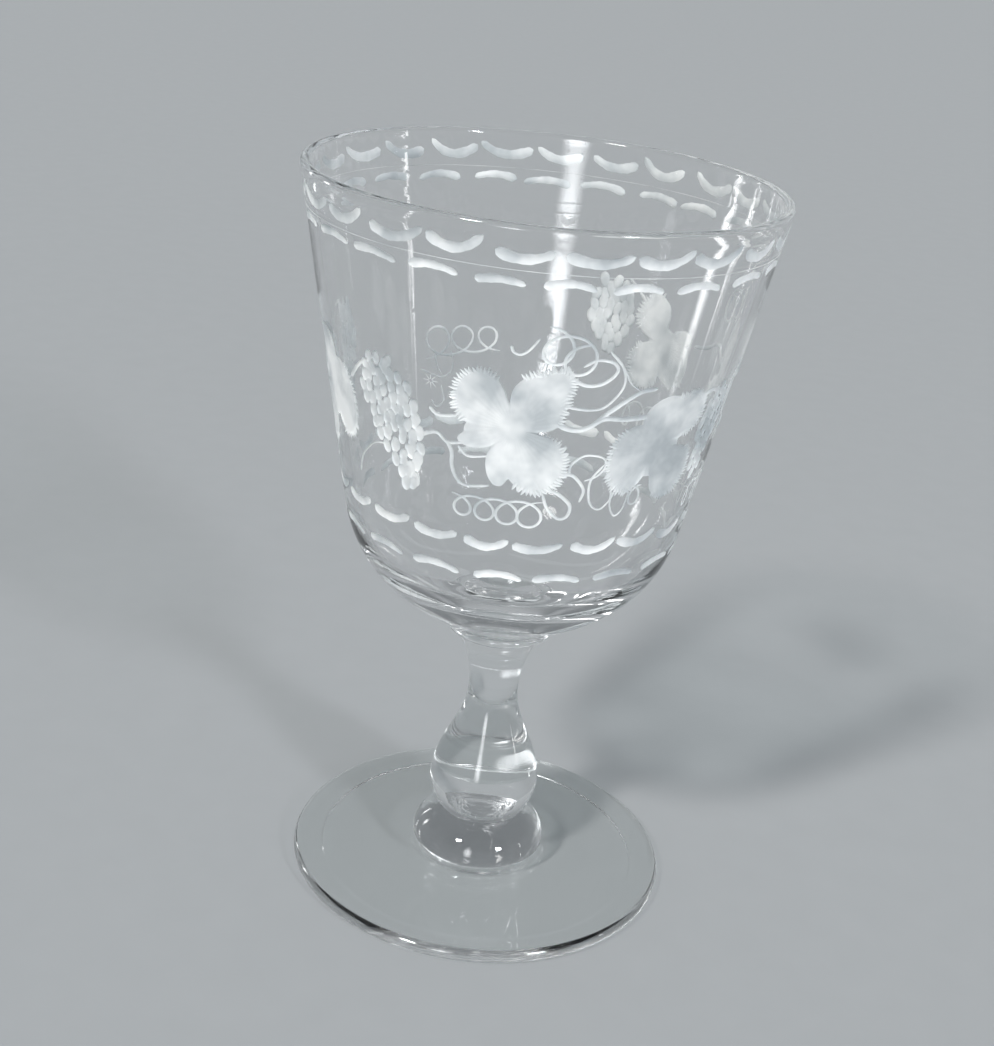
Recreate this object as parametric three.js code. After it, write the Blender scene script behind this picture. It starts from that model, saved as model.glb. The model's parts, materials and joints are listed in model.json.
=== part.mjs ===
// Stemmed drinking goblet of colourless glass, in millimetres, +Z up, with its origin under the
// middle of the foot. A goblet of this kind is made hot from five gathers of glass: the foot, a squat
// base knop, the stem with its ball knop, a thin collar and the blown bowl. Each is turned about the
// same axis and seats on the flat end of the one below it.
import * as THREE from "three";

// Foot: a thin spun disc with a rounded edge, which rises a little to a hub under the base knop.
const footRadius = 38.6;
const footEdgeThickness = 3.0;
const footConeRise = 0.7;
const hubFilletRise = 0.5;
const hubFilletWidth = 2.2;

// Underside of the foot: a flat ring to stand on, a shallow dish and a polished pontil hollow.
const bearingRingWidth = 4.0;
const dishDepth = 0.9;
const pontilRadius = 9.0;
const pontilDepth = 0.6;

// Base knop: widest low down, drawn in to the crease under the ball knop.
const baseKnopRadius = 13.7;
const baseKnopSeatInset = 0.9;
const baseKnopLowerHeight = 1.3;
const baseKnopUpperHeight = 7.1;

// Stem: a ball knop, a long shoulder up to the waist and a flared neck.
const knopRadius = 11.2;
const creaseDepth = 2.6;
const knopLowerHeight = 6.6;
const knopUpperHeight = 20.8;
const waistRadius = 5.05;
const neckHeight = 13.8;
const neckTopRadius = 8.8;

// Collar: a thin disc with a round edge.
const collarRadius = 10.6;
const collarThickness = 1.8;

// Bowl, outside: a round cheek that starts at the collar, and a straight wall that widens to the rim.
const rimRadius = 44.6;
const shoulderRadius = 32.8;
const cheekHeight = 25.1;
const wallHeight = 64.3;
const cheekSlopeAngle = 27.4; // degrees above level, where the cheek leaves the collar

// Bowl, inside: a wall that thickens downwards to a heavy base, under a swollen lip.
const lipThickness = 1.8;
const lipDepth = 3.0;
const wallThickness = 1.5;
const shoulderThickness = 2.1;
const baseThickness = 7.2;

// How far each handle of a cheek curve reaches, as a share of the height or the radius that it spans.
const cheekShares = { wall: 0.53, seat: 0.52 };
const cupShares = { wall: 0.66, floor: 0.62 };

// Facets round the axis, and steps along a long, a short and a tiny curved stretch of an outline.
const roundSegments = 60;
const longSteps = 12;
const shortSteps = 6;
const tinySteps = 3;

// Heights of the seats, from the table up.
const hubHeight = footEdgeThickness + footConeRise + hubFilletRise;
const creaseHeight = hubHeight + baseKnopLowerHeight + baseKnopUpperHeight;
const collarBottom = creaseHeight + knopLowerHeight + knopUpperHeight + neckHeight;
const collarTop = collarBottom + collarThickness;
const shoulderTop = collarTop + cheekHeight;
const rimTop = shoulderTop + wallHeight;

// Radii that two pieces share.
const hubRadius = baseKnopRadius - baseKnopSeatInset;
const creaseRadius = knopRadius - creaseDepth;
const collarEdge = collarThickness / 2;
const collarSeatRadius = collarRadius - collarEdge;

// An outline's point: its radius from the axis and its height.
const at = (radius, height) => new THREE.Vector2(radius, height);

// The points of a stretch after its first, where `point` gives the place at each share of the way.
function stretch(steps, point) {
  return Array.from({ length: steps }, (_, step) => point((step + 1) / steps));
}

// A wave from 0 to 1 that starts and ends level.
const easeShare = (share) => (1 - Math.cos(Math.PI * share)) / 2;

// An upright ogee: the radius eases from one end to the other while the height runs evenly.
function ogee(from, to) {
  return stretch(longSteps, (share) =>
    at(
      THREE.MathUtils.lerp(from.x, to.x, easeShare(share)),
      THREE.MathUtils.lerp(from.y, to.y, share),
    ),
  );
}

// A level ogee: the height eases from one end to the other while the radius runs evenly.
function dip(from, to, steps) {
  return stretch(steps, (share) =>
    at(
      THREE.MathUtils.lerp(from.x, to.x, share),
      THREE.MathUtils.lerp(from.y, to.y, easeShare(share)),
    ),
  );
}

// A flare: the radius grows with the square of the height above the waist.
function flare(from, to) {
  return stretch(shortSteps, (share) =>
    at(
      THREE.MathUtils.lerp(from.x, to.x, share * share),
      THREE.MathUtils.lerp(from.y, to.y, share),
    ),
  );
}

// Part of a ball centred on the axis, from its widest place to the place where its end is cut off.
function ballSide(widest, end, steps) {
  const endAngle = Math.acos(end.x / widest.x);
  const halfHeight = (end.y - widest.y) / Math.sin(endAngle);
  return stretch(steps, (share) =>
    at(
      widest.x * Math.cos(endAngle * share),
      widest.y + halfHeight * Math.sin(endAngle * share),
    ),
  );
}

// A round edge: half a circle about its centre, anticlockwise from the start angle.
function halfRound(centre, radius, startAngle) {
  return stretch(shortSteps, (share) => {
    const angle = startAngle + Math.PI * share;
    return at(centre.x + radius * Math.cos(angle), centre.y + radius * Math.sin(angle));
  });
}

// A smooth curve with a handle at each end.
function bend(from, fromHandle, toHandle, to) {
  const curve = new THREE.CubicBezierCurve(from, fromHandle, toHandle, to);
  return curve.getPoints(longSteps).slice(1);
}

// Clear glass, which every piece of the goblet is made of.
function clearGlass() {
  return new THREE.MeshStandardMaterial({
    color: 0xdde4e4,
    roughness: 0.04,
    metalness: 0,
    transparent: true,
    opacity: 0.45,
  });
}

// Turns an outline about the axis. The outline runs from the axis below, up the outside, and back to
// the axis.
function turned(name, outline) {
  const mesh = new THREE.Mesh(new THREE.LatheGeometry(outline, roundSegments), clearGlass());
  mesh.name = name;
  mesh.rotation.x = Math.PI / 2;
  return mesh;
}

function foot() {
  const edge = footEdgeThickness / 2;
  const edgeCentre = at(footRadius - edge, edge);
  const ringInner = at(edgeCentre.x - bearingRingWidth, 0);
  const pontilRim = at(pontilRadius, dishDepth);
  const pontilTop = at(0, dishDepth + pontilDepth);
  const filletFoot = at(hubRadius + hubFilletWidth, footEdgeThickness + footConeRise);
  const hubRim = at(hubRadius, hubHeight);
  return turned("foot", [
    pontilTop,
    ...dip(pontilTop, pontilRim, tinySteps),
    ...dip(pontilRim, ringInner, shortSteps),
    at(edgeCentre.x, 0),
    ...halfRound(edgeCentre, edge, -Math.PI / 2),
    filletFoot,
    ...dip(filletFoot, hubRim, tinySteps),
    at(0, hubHeight),
  ]);
}

function baseKnop() {
  const seatRim = at(hubRadius, hubHeight);
  const widest = at(baseKnopRadius, hubHeight + baseKnopLowerHeight);
  const creaseRim = at(creaseRadius, creaseHeight);
  return turned("base_knop", [
    at(0, hubHeight),
    seatRim,
    ...ballSide(widest, seatRim, tinySteps).reverse().slice(1),
    widest,
    ...ballSide(widest, creaseRim, shortSteps),
    at(0, creaseHeight),
  ]);
}

function stem() {
  const creaseRim = at(creaseRadius, creaseHeight);
  const widest = at(knopRadius, creaseHeight + knopLowerHeight);
  const waist = at(waistRadius, widest.y + knopUpperHeight);
  const neckTop = at(neckTopRadius, collarBottom);
  return turned("stem", [
    at(0, creaseHeight),
    creaseRim,
    ...ballSide(widest, creaseRim, shortSteps).reverse().slice(1),
    widest,
    ...ogee(widest, waist),
    ...flare(waist, neckTop),
    at(0, collarBottom),
  ]);
}

function collar() {
  const edgeCentre = at(collarSeatRadius, collarBottom + collarEdge);
  return turned("collar", [
    at(0, collarBottom),
    at(collarSeatRadius, collarBottom),
    ...halfRound(edgeCentre, collarEdge, -Math.PI / 2),
    at(0, collarTop),
  ]);
}

// The outside of the bowl up to the lip, from the seat on the collar.
function bowlOutside(lipCentre, lipRadius) {
  const seatRim = at(collarSeatRadius, collarTop);
  const shoulder = at(shoulderRadius, shoulderTop);
  const wallTop = at(lipCentre.x + lipRadius, lipCentre.y);
  const wallSlope = (wallTop.x - shoulder.x) / (wallTop.y - shoulder.y);
  const wallReach = cheekShares.wall * cheekHeight;
  const seatReach = cheekShares.seat * (shoulder.x - seatRim.x);
  const seatSlope = Math.tan(THREE.MathUtils.degToRad(cheekSlopeAngle));
  return [
    at(0, collarTop),
    seatRim,
    ...bend(
      seatRim,
      at(seatRim.x + seatReach, seatRim.y + seatReach * seatSlope),
      at(shoulder.x - wallReach * wallSlope, shoulder.y - wallReach),
      shoulder,
    ),
    wallTop,
  ];
}

// The inside of the bowl below the lip, down to the middle of its floor.
function bowlInside(lipCentre, lipRadius) {
  const wallTop = lipCentre.x + lipRadius;
  const wallSlope = (wallTop - shoulderRadius) / (lipCentre.y - shoulderTop);
  const lipFoot = at(wallTop - wallSlope * lipDepth - wallThickness, lipCentre.y - lipDepth);
  const shoulder = at(shoulderRadius - shoulderThickness, shoulderTop);
  const floor = at(0, collarTop + baseThickness);
  const innerSlope = (lipFoot.x - shoulder.x) / (lipFoot.y - shoulder.y);
  const wallReach = cupShares.wall * (shoulder.y - floor.y);
  return [
    lipFoot,
    shoulder,
    ...bend(
      shoulder,
      at(shoulder.x - wallReach * innerSlope, shoulder.y - wallReach),
      at(shoulder.x * cupShares.floor, floor.y),
      floor,
    ),
  ];
}

function bowl() {
  const lipRadius = lipThickness / 2;
  const lipCentre = at(rimRadius - lipRadius, rimTop - lipRadius);
  return turned("bowl", [
    ...bowlOutside(lipCentre, lipRadius),
    ...halfRound(lipCentre, lipRadius, 0),
    ...bowlInside(lipCentre, lipRadius),
  ]);
}

const goblet = new THREE.Group();
goblet.add(foot(), baseKnop(), stem(), collar(), bowl());

export default goblet;
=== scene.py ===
import json
import math

import bpy
import numpy as np
from mathutils import Matrix, Vector

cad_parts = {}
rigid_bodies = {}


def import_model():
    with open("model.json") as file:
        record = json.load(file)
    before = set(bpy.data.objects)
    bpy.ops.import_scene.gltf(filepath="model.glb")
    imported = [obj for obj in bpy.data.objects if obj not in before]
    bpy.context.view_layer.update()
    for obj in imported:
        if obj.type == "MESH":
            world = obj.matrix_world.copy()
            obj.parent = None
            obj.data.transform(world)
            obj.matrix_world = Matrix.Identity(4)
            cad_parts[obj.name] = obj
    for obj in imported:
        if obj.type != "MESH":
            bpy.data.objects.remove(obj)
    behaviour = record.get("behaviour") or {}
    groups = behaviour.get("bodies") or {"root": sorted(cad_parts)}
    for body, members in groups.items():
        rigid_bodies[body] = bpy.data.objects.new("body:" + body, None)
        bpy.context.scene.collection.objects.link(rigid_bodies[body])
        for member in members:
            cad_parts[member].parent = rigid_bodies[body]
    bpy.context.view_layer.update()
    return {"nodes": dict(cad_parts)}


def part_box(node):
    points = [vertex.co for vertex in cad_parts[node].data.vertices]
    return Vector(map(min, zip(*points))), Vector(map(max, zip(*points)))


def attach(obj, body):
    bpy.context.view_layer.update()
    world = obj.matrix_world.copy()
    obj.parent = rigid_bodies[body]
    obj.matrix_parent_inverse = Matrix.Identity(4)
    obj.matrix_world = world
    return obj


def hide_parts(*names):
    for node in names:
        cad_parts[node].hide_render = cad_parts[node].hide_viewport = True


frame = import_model()
print("frame loaded:", ", ".join(sorted(frame["nodes"])))

mm = 0.001  # sizes are written in millimetres and multiplied by this
roundSegments = 180  # facets round the axis, alike on every piece so that their seats match


# Small helpers for materials

def linearColour(hexColour):
    # Turns an sRGB hex colour into linear values, with alpha 1.
    channels = np.array([int(hexColour[i:i + 2], 16) for i in (1, 3, 5)]) / 255
    linear = np.where(channels <= 0.04045, channels / 12.92, ((channels + 0.055) / 1.055) ** 2.4)
    return (*linear.tolist(), 1.0)


def addNode(tree, kind, settings=None, links=None):
    # Adds one node. A setting is a property of the node or a socket's value, a link is a socket's source.
    node = tree.nodes.new(kind)
    for name, value in (settings or {}).items():
        if isinstance(name, str) and hasattr(node, name):
            setattr(node, name, value)
        else:
            node.inputs[name].default_value = value
    for name, source in (links or {}).items():
        tree.links.new(source, node.inputs[name])
    return node


def newMaterial(name):
    # An empty node material and its tree.
    material = bpy.data.materials.new(name)
    material.use_nodes = True
    material.node_tree.nodes.clear()
    return material, material.node_tree


def finishMaterial(tree, shader):
    addNode(tree, "ShaderNodeOutputMaterial", links={"Surface": shader})


# Outlines: rows of radius and height, each stretch without its first point

def sharesAlong(steps):
    return np.linspace(0, 1, steps + 1)[1:]


def easeShare(share):
    # A wave from 0 to 1 that starts and ends level: (1 - cos(pi s)) / 2.
    return (1 - np.cos(np.pi * share)) / 2


def between(start, end, share):
    return start + (end - start) * share


def straight(start, end, steps):
    # Both the radius and the height run evenly.
    share = sharesAlong(steps)
    return np.column_stack((between(start[0], end[0], share), between(start[1], end[1], share)))


def ogee(start, end, steps):
    # The radius eases from one end to the other while the height runs evenly.
    share = sharesAlong(steps)
    return np.column_stack(
        (between(start[0], end[0], easeShare(share)), between(start[1], end[1], share))
    )


def dip(start, end, steps):
    # The height eases from one end to the other while the radius runs evenly.
    share = sharesAlong(steps)
    return np.column_stack(
        (between(start[0], end[0], share), between(start[1], end[1], easeShare(share)))
    )


def flare(start, end, steps):
    # The radius grows with the square of the way gone: r = r0 + (r1 - r0) s^2.
    share = sharesAlong(steps)
    return np.column_stack(
        (between(start[0], end[0], share ** 2), between(start[1], end[1], share))
    )


def ballSide(widest, end, steps):
    # Part of an ellipse on the axis: r = a cos t, h = h0 + b sin t, from its widest place to the end.
    endAngle = math.acos(end[0] / widest[0])
    halfHeight = (end[1] - widest[1]) / math.sin(endAngle)
    turn = endAngle * sharesAlong(steps)
    return np.column_stack((widest[0] * np.cos(turn), widest[1] + halfHeight * np.sin(turn)))


def halfRound(centre, radius, startAngle, steps):
    # Half a circle about its centre, anticlockwise from the start angle.
    turn = startAngle + np.pi * sharesAlong(steps)
    return np.column_stack((centre[0] + radius * np.cos(turn), centre[1] + radius * np.sin(turn)))


def bend(start, startHandle, endHandle, end, steps):
    # A cubic Bezier curve: the four points weighed by (1-s)^3, 3s(1-s)^2, 3s^2(1-s) and s^3.
    share = sharesAlong(steps)[:, None]
    rest = 1 - share
    return (
        rest ** 3 * np.array(start)
        + 3 * share * rest ** 2 * np.array(startHandle)
        + 3 * share ** 2 * rest * np.array(endHandle)
        + share ** 3 * np.array(end)
    )


# Meshes

def turnedMesh(name, outline, materials, seatBelow=False, seatAbove=False):
    # Surface of revolution: x = r cos a, y = r sin a, z = h, over outline point and angle a. The
    # outline starts and ends on the axis, and its ends close in fans, which are seats when asked.
    angle = np.arange(roundSegments) * 2 * np.pi / roundSegments
    rings = outline[1:-1]
    x = np.outer(rings[:, 0], np.cos(angle))
    y = np.outer(rings[:, 0], np.sin(angle))
    z = np.repeat(rings[:, 1:], roundSegments, axis=1)
    poles = np.array([[0, 0, outline[0, 1]], [0, 0, outline[-1, 1]]])
    points = np.vstack((poles[:1], np.stack((x, y, z), axis=-1).reshape(-1, 3), poles[1:]))
    first = np.arange(roundSegments) + 1
    following = np.roll(first, -1)
    steps = (np.arange(len(rings) - 1) * roundSegments)[:, None]
    lower, lowerNext = first + steps, following + steps
    quads = np.stack(
        (lower, lowerNext, lowerNext + roundSegments, lower + roundSegments), axis=-1
    ).reshape(-1, 4)
    lastRing = (len(rings) - 1) * roundSegments
    bottomFan = np.column_stack((np.zeros_like(first), following, first))
    topFan = np.column_stack(
        (first + lastRing, following + lastRing, np.full_like(first, len(points) - 1))
    )
    mesh = bpy.data.meshes.new(name)
    mesh.from_pydata(points, [], bottomFan.tolist() + quads.tolist() + topFan.tolist())
    for material in materials:
        mesh.materials.append(material)
    places = np.zeros(len(mesh.polygons), np.int32)
    places[:roundSegments] = int(seatBelow)
    places[-roundSegments:] = int(seatAbove)
    mesh.polygons.foreach_set("material_index", places)
    mesh.shade_smooth()
    markBorders(mesh)
    return mesh


def markBorders(mesh):
    # An edge where two materials meet, or where a cut has a ridge, is sharp, so that each side
    # keeps its own shading.
    mesh.set_sharp_from_angle(angle=math.radians(40))
    places = np.zeros(len(mesh.polygons), np.int32)
    mesh.polygons.foreach_get("material_index", places)
    sides = np.zeros(len(mesh.polygons), np.int32)
    mesh.polygons.foreach_get("loop_total", sides)
    edgeOfLoop = np.zeros(len(mesh.loops), np.int32)
    mesh.loops.foreach_get("edge_index", edgeOfLoop)
    placeOfLoop = np.repeat(places, sides)
    lowest = np.full(len(mesh.edges), len(mesh.materials), np.int32)
    highest = np.full(len(mesh.edges), -1, np.int32)
    np.minimum.at(lowest, edgeOfLoop, placeOfLoop)
    np.maximum.at(highest, edgeOfLoop, placeOfLoop)
    sharp = mesh.attributes.get("sharp_edge") or mesh.attributes.new("sharp_edge", "BOOLEAN", "EDGE")
    ridges = np.zeros(len(mesh.edges), bool)
    sharp.data.foreach_get("value", ridges)
    sharp.data.foreach_set("value", ridges | (lowest != highest))


# What the strip lamps shine on: the whole goblet, or only its stem.
gobletPieces = bpy.data.collections.new("gobletPieces")
stemPieces = bpy.data.collections.new("stemPieces")


def placePiece(mesh, node):
    # A finished piece: it rides on the goblet and stands for its node, which is hidden.
    piece = bpy.data.objects.new(mesh.name, mesh)
    bpy.context.scene.collection.objects.link(piece)
    gobletPieces.objects.link(piece)
    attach(piece, "root")
    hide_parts(node)
    return piece


def nodeSpan(node):
    # The lowest height, the highest height and the radius of a node of the frame.
    low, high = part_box(node)
    return low.z, high.z, high.x


# Glass. All of it is soda-lime glass melted in a pot and cleared with manganese, so it is almost
# colourless, and every piece has the same refractive index.

glassIor = 1.52


def toolMarks(tree, place, look):
    # Fine lines left in the soft glass. They stand upright where it was blown and drawn out, and lie
    # in rings where it was turned against a tool, so there the pattern reads radius and height.
    if look["marks"] == "upright":
        scale = (1.0, 1.0, 0.015)
        source = place
    else:
        scale = (1.0, 1.0, 1.0)
        flat = addNode(
            tree, "ShaderNodeVectorMath", {"operation": "MULTIPLY", 1: (1, 1, 0)}, {0: place}
        )
        radius = addNode(
            tree, "ShaderNodeVectorMath", {"operation": "LENGTH"}, {0: flat.outputs["Vector"]}
        )
        height = addNode(tree, "ShaderNodeSeparateXYZ", links={"Vector": place}).outputs["Z"]
        source = addNode(
            tree, "ShaderNodeCombineXYZ", links={"X": radius.outputs["Value"], "Z": height}
        ).outputs["Vector"]
    lines = addNode(tree, "ShaderNodeMapping", {"Scale": scale}, {"Vector": source})
    return addNode(
        tree,
        "ShaderNodeTexNoise",
        {"Scale": 1 / (look["markSpacing"] * mm), "Detail": 2.0, "Roughness": 0.5},
        {"Vector": lines.outputs["Vector"]},
    )


def clearGlass(name, look):
    # Fire-polished glass: the flame leaves it mirror smooth, with slow waves that bend reflections
    # and finer tool marks, and years of use leave faint rubbed patches and hair scratches that
    # catch the light.
    material, tree = newMaterial(name)
    place = addNode(tree, "ShaderNodeTexCoord").outputs["Object"]
    stretched = addNode(
        tree, "ShaderNodeMapping", {"Scale": look["waveStretch"]}, {"Vector": place}
    ).outputs["Vector"]
    waves = addNode(
        tree,
        "ShaderNodeTexNoise",
        {"Scale": 1 / (look["waveLength"] * mm), "Detail": 2.0, "Roughness": 0.4},
        {"Vector": stretched},
    )
    marks = toolMarks(tree, place, look)
    slowHeight = addNode(
        tree,
        "ShaderNodeMath",
        {"operation": "MULTIPLY", 1: look["waveDepth"]},
        {0: waves.outputs["Fac"]},
    )
    allHeight = addNode(
        tree,
        "ShaderNodeMath",
        {"operation": "MULTIPLY_ADD", 1: look["markDepth"]},
        {0: marks.outputs["Fac"], 2: slowHeight.outputs["Value"]},
    )
    bump = addNode(
        tree,
        "ShaderNodeBump",
        {"Strength": 1.0, "Distance": mm},
        {"Height": allHeight.outputs["Value"]},
    )
    patches = addNode(
        tree,
        "ShaderNodeTexNoise",
        {"Scale": 1 / (look["patchSize"] * mm), "Detail": 5.0, "Roughness": 0.65},
        {"Vector": place},
    )
    scratches = addNode(
        tree,
        "ShaderNodeTexVoronoi",
        {"feature": "DISTANCE_TO_EDGE", "Scale": 1 / (look["scratchSpacing"] * mm)},
        {"Vector": addNode(
            tree, "ShaderNodeMapping", {"Scale": look["scratchStretch"]}, {"Vector": place}
        ).outputs["Vector"]},
    )
    hairline = addNode(
        tree,
        "ShaderNodeMapRange",
        {"From Min": 0.0, "From Max": look["scratchWidth"] / look["scratchSpacing"],
         "To Min": look["scratchRoughness"], "To Max": 0.0},
        {"Value": scratches.outputs["Distance"]},
    )
    rubbed = addNode(
        tree,
        "ShaderNodeMapRange",
        {"From Min": 0.5, "From Max": 0.75, "To Min": look["roughness"],
         "To Max": look["rubbedRoughness"]},
        {"Value": patches.outputs["Fac"]},
    )
    roughness = addNode(
        tree,
        "ShaderNodeMath",
        {"operation": "MAXIMUM"},
        {0: hairline.outputs["Result"], 1: rubbed.outputs["Result"]},
    )
    glass = addNode(
        tree,
        "ShaderNodeBsdfPrincipled",
        {"Base Color": linearColour(look["colour"]), "Transmission Weight": 1.0, "IOR": glassIor},
        {"Roughness": roughness.outputs["Value"], "Normal": bump.outputs["Normal"]},
    )
    slant = addNode(tree, "ShaderNodeLayerWeight", {"Blend": 0.5})
    edgeOn = addNode(
        tree, "ShaderNodeMapRange", {"From Min": 0.6, "From Max": 1.0},
        {"Value": slant.outputs["Facing"]},
    )
    passed = addNode(
        tree,
        "ShaderNodeMix",
        {"data_type": "RGBA", 6: linearColour(look["shadowThrough"]),
         7: linearColour(look["shadowEdge"])},
        {0: edgeOn.outputs["Result"]},
    )
    dimmed = addNode(tree, "ShaderNodeBsdfTransparent", links={"Color": passed.outputs[2]})
    scattered = letThrough(tree, "Is Diffuse Ray", glass.outputs["BSDF"], dimmed)
    finishMaterial(tree, letThrough(tree, "Is Shadow Ray", scattered, dimmed))
    return material


def letThrough(tree, ray, glass, dimmed):
    # Rays of the named kind pass straight through, dimmed, and all others meet the glass itself.
    # With shadow rays, which run to a lamp, the glass casts a pale shadow. With diffuse rays, which
    # leave a matte surface, the floor's light reaches the cuts behind clear glass.
    mixed = addNode(
        tree,
        "ShaderNodeMixShader",
        links={
            0: addNode(tree, "ShaderNodeLightPath").outputs[ray],
            1: glass,
            2: dimmed.outputs["BSDF"],
        },
    )
    return mixed.outputs["Shader"]


def groundGlass(name):
    # Wheel-cut glass left unpolished: the stone leaves a fine grain of pits that scatters light, so
    # it looks pale and chalky, and glows where light comes from behind it.
    look = {
        "colour": "#F7F9F9", "milkyColour": "#BFC5C8", "grainSize": 0.16, "grainDepth": 0.03,
        "cloudSize": 9.0, "cloudRange": (0.34, 0.64), "roughness": 0.65, "glow": 0.3,
        "shadowThrough": "#C4C6C6",
    }
    material, tree = newMaterial(name)
    place = addNode(tree, "ShaderNodeTexCoord").outputs["Object"]
    grain = addNode(
        tree,
        "ShaderNodeTexNoise",
        {"Scale": 1 / (look["grainSize"] * mm), "Detail": 3.0, "Roughness": 0.7},
        {"Vector": place},
    )
    bump = addNode(
        tree,
        "ShaderNodeBump",
        {"Strength": 1.0, "Distance": look["grainDepth"] * mm},
        {"Height": grain.outputs["Fac"]},
    )
    cloud = addNode(
        tree,
        "ShaderNodeTexNoise",
        {"Scale": 1 / (look["cloudSize"] * mm), "Detail": 3.0, "Roughness": 0.55},
        {"Vector": place},
    )
    chalky = addNode(
        tree, "ShaderNodeMapRange",
        {"From Min": look["cloudRange"][0], "From Max": look["cloudRange"][1]},
        {"Value": cloud.outputs["Fac"]},
    )
    tone = addNode(
        tree,
        "ShaderNodeMix",
        {"data_type": "RGBA", 6: linearColour(look["milkyColour"]), 7: linearColour(look["colour"])},
        {0: chalky.outputs["Result"]},
    )
    front = addNode(
        tree,
        "ShaderNodeBsdfPrincipled",
        {"IOR": glassIor, "Roughness": look["roughness"]},
        {"Base Color": tone.outputs[2], "Normal": bump.outputs["Normal"]},
    )
    behind = addNode(
        tree,
        "ShaderNodeBsdfTranslucent",
        links={"Color": tone.outputs[2], "Normal": bump.outputs["Normal"]},
    )
    ground = addNode(
        tree,
        "ShaderNodeMixShader",
        {0: look["glow"]},
        {1: front.outputs["BSDF"], 2: behind.outputs["BSDF"]},
    )
    dimmed = addNode(
        tree, "ShaderNodeBsdfTransparent", {"Color": linearColour(look["shadowThrough"])}
    )
    finishMaterial(tree, letThrough(tree, "Is Shadow Ray", ground.outputs["Shader"], dimmed))
    return material


def fusedSeat(name):
    # Where two gathers were joined hot the glass is one, so the seat between them can't be seen.
    material, tree = newMaterial(name)
    seat = addNode(tree, "ShaderNodeBsdfPrincipled", {"Alpha": 0.0, "IOR": glassIor})
    finishMaterial(tree, seat.outputs["BSDF"])
    return material


blownGlass = clearGlass("blownSodaGlass", {
    "colour": "#FDFDFD", "roughness": 0.0, "rubbedRoughness": 0.02,
    "waveLength": 14.0, "waveDepth": 0.02, "waveStretch": (1.0, 1.0, 0.18),
    "marks": "upright", "markSpacing": 1.1, "markDepth": 0.0024,
    "patchSize": 18.0, "scratchSpacing": 9.0, "scratchWidth": 0.06,
    "scratchStretch": (1.0, 1.0, 0.35), "scratchRoughness": 0.015,
    "shadowThrough": "#FAFBFB", "shadowEdge": "#5A5C5C",
})
drawnGlass = clearGlass("drawnSodaGlass", {
    "colour": "#FCFDFD", "roughness": 0.0, "rubbedRoughness": 0.015,
    "waveLength": 7.0, "waveDepth": 0.015, "waveStretch": (1.0, 1.0, 0.6),
    "marks": "rings", "markSpacing": 2.4, "markDepth": 0.02,
    "patchSize": 12.0, "scratchSpacing": 7.0, "scratchWidth": 0.06,
    "scratchStretch": (1.0, 1.0, 1.0), "scratchRoughness": 0.05,
    "shadowThrough": "#DDDFDF", "shadowEdge": "#5A5C5C",
})
# The squat knop was squeezed with a tool while it turned, which left deeper rings.
squeezedGlass = clearGlass("squeezedSodaGlass", {
    "colour": "#FCFDFD", "roughness": 0.0, "rubbedRoughness": 0.015,
    "waveLength": 6.0, "waveDepth": 0.03, "waveStretch": (1.0, 1.0, 1.0),
    "marks": "rings", "markSpacing": 1.7, "markDepth": 0.07,
    "patchSize": 8.0, "scratchSpacing": 6.0, "scratchWidth": 0.06,
    "scratchStretch": (1.0, 1.0, 1.0), "scratchRoughness": 0.05,
    "shadowThrough": "#E6E8E8", "shadowEdge": "#8A8C8C",
})
spunGlass = clearGlass("spunSodaGlass", {
    "colour": "#FCFDFC", "roughness": 0.01, "rubbedRoughness": 0.06,
    "waveLength": 10.0, "waveDepth": 0.03, "waveStretch": (1.0, 1.0, 1.0),
    "marks": "rings", "markSpacing": 1.8, "markDepth": 0.004,
    "patchSize": 9.0, "scratchSpacing": 5.0, "scratchWidth": 0.09,
    "scratchStretch": (1.0, 0.3, 1.0), "scratchRoughness": 0.16,
    "shadowThrough": "#FBFCFC", "shadowEdge": "#A0A2A2",
})
stoneCut = groundGlass("stoneCutGlass")
hotSeat = fusedSeat("fusedSeat")
print("glass materials made")


# Foot: spun from a gather of glass, which leaves a round edge, a slight cone and a polished hollow
# underneath where the pontil rod was broken off.

foot = {
    "edgeThickness": 3.0, "coneRise": 0.7, "filletWidth": 2.2, "hubInset": 0.9,
    "ringWidth": 4.0, "stepWidth": 0.9, "stepRise": 0.18, "dishDepth": 0.9,
    "pontilRadius": 9.0, "pontilDepth": 0.6,
}


def makeFoot():
    bottom, top, radius = nodeSpan("foot")
    hubRadius = nodeSpan("base_knop")[2] - foot["hubInset"] * mm
    edge = foot["edgeThickness"] * mm / 2
    edgeCentre = (radius - edge, bottom + edge)
    ringInner = (edgeCentre[0] - foot["ringWidth"] * mm, bottom)
    hollowRim = (ringInner[0] - foot["stepWidth"] * mm, bottom + foot["stepRise"] * mm)
    pontilRim = (foot["pontilRadius"] * mm, bottom + foot["dishDepth"] * mm)
    pontilTop = (0, pontilRim[1] + foot["pontilDepth"] * mm)
    coneTop = (hubRadius + foot["filletWidth"] * mm, bottom + 2 * edge + foot["coneRise"] * mm)
    edgeTop = (edgeCentre[0], bottom + 2 * edge)
    outline = np.vstack((
        [pontilTop],
        dip(pontilTop, pontilRim, 16),
        dip(pontilRim, hollowRim, 36),
        dip(hollowRim, ringInner, 8),
        straight(ringInner, (edgeCentre[0], bottom), 4),
        halfRound(edgeCentre, edge, -math.pi / 2, 24),
        straight(edgeTop, coneTop, 16),
        dip(coneTop, (hubRadius, top), 10),
        [(0, top)],
    ))
    mesh = turnedMesh("spun_foot", outline, [spunGlass, hotSeat], seatAbove=True)
    return placePiece(mesh, "foot")


# Base knop: a squat ball, widest low down, between the foot and the stem.

baseKnop = {"seatInset": 0.9, "lowerHeight": 1.3, "creaseDepth": 2.6}


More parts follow.
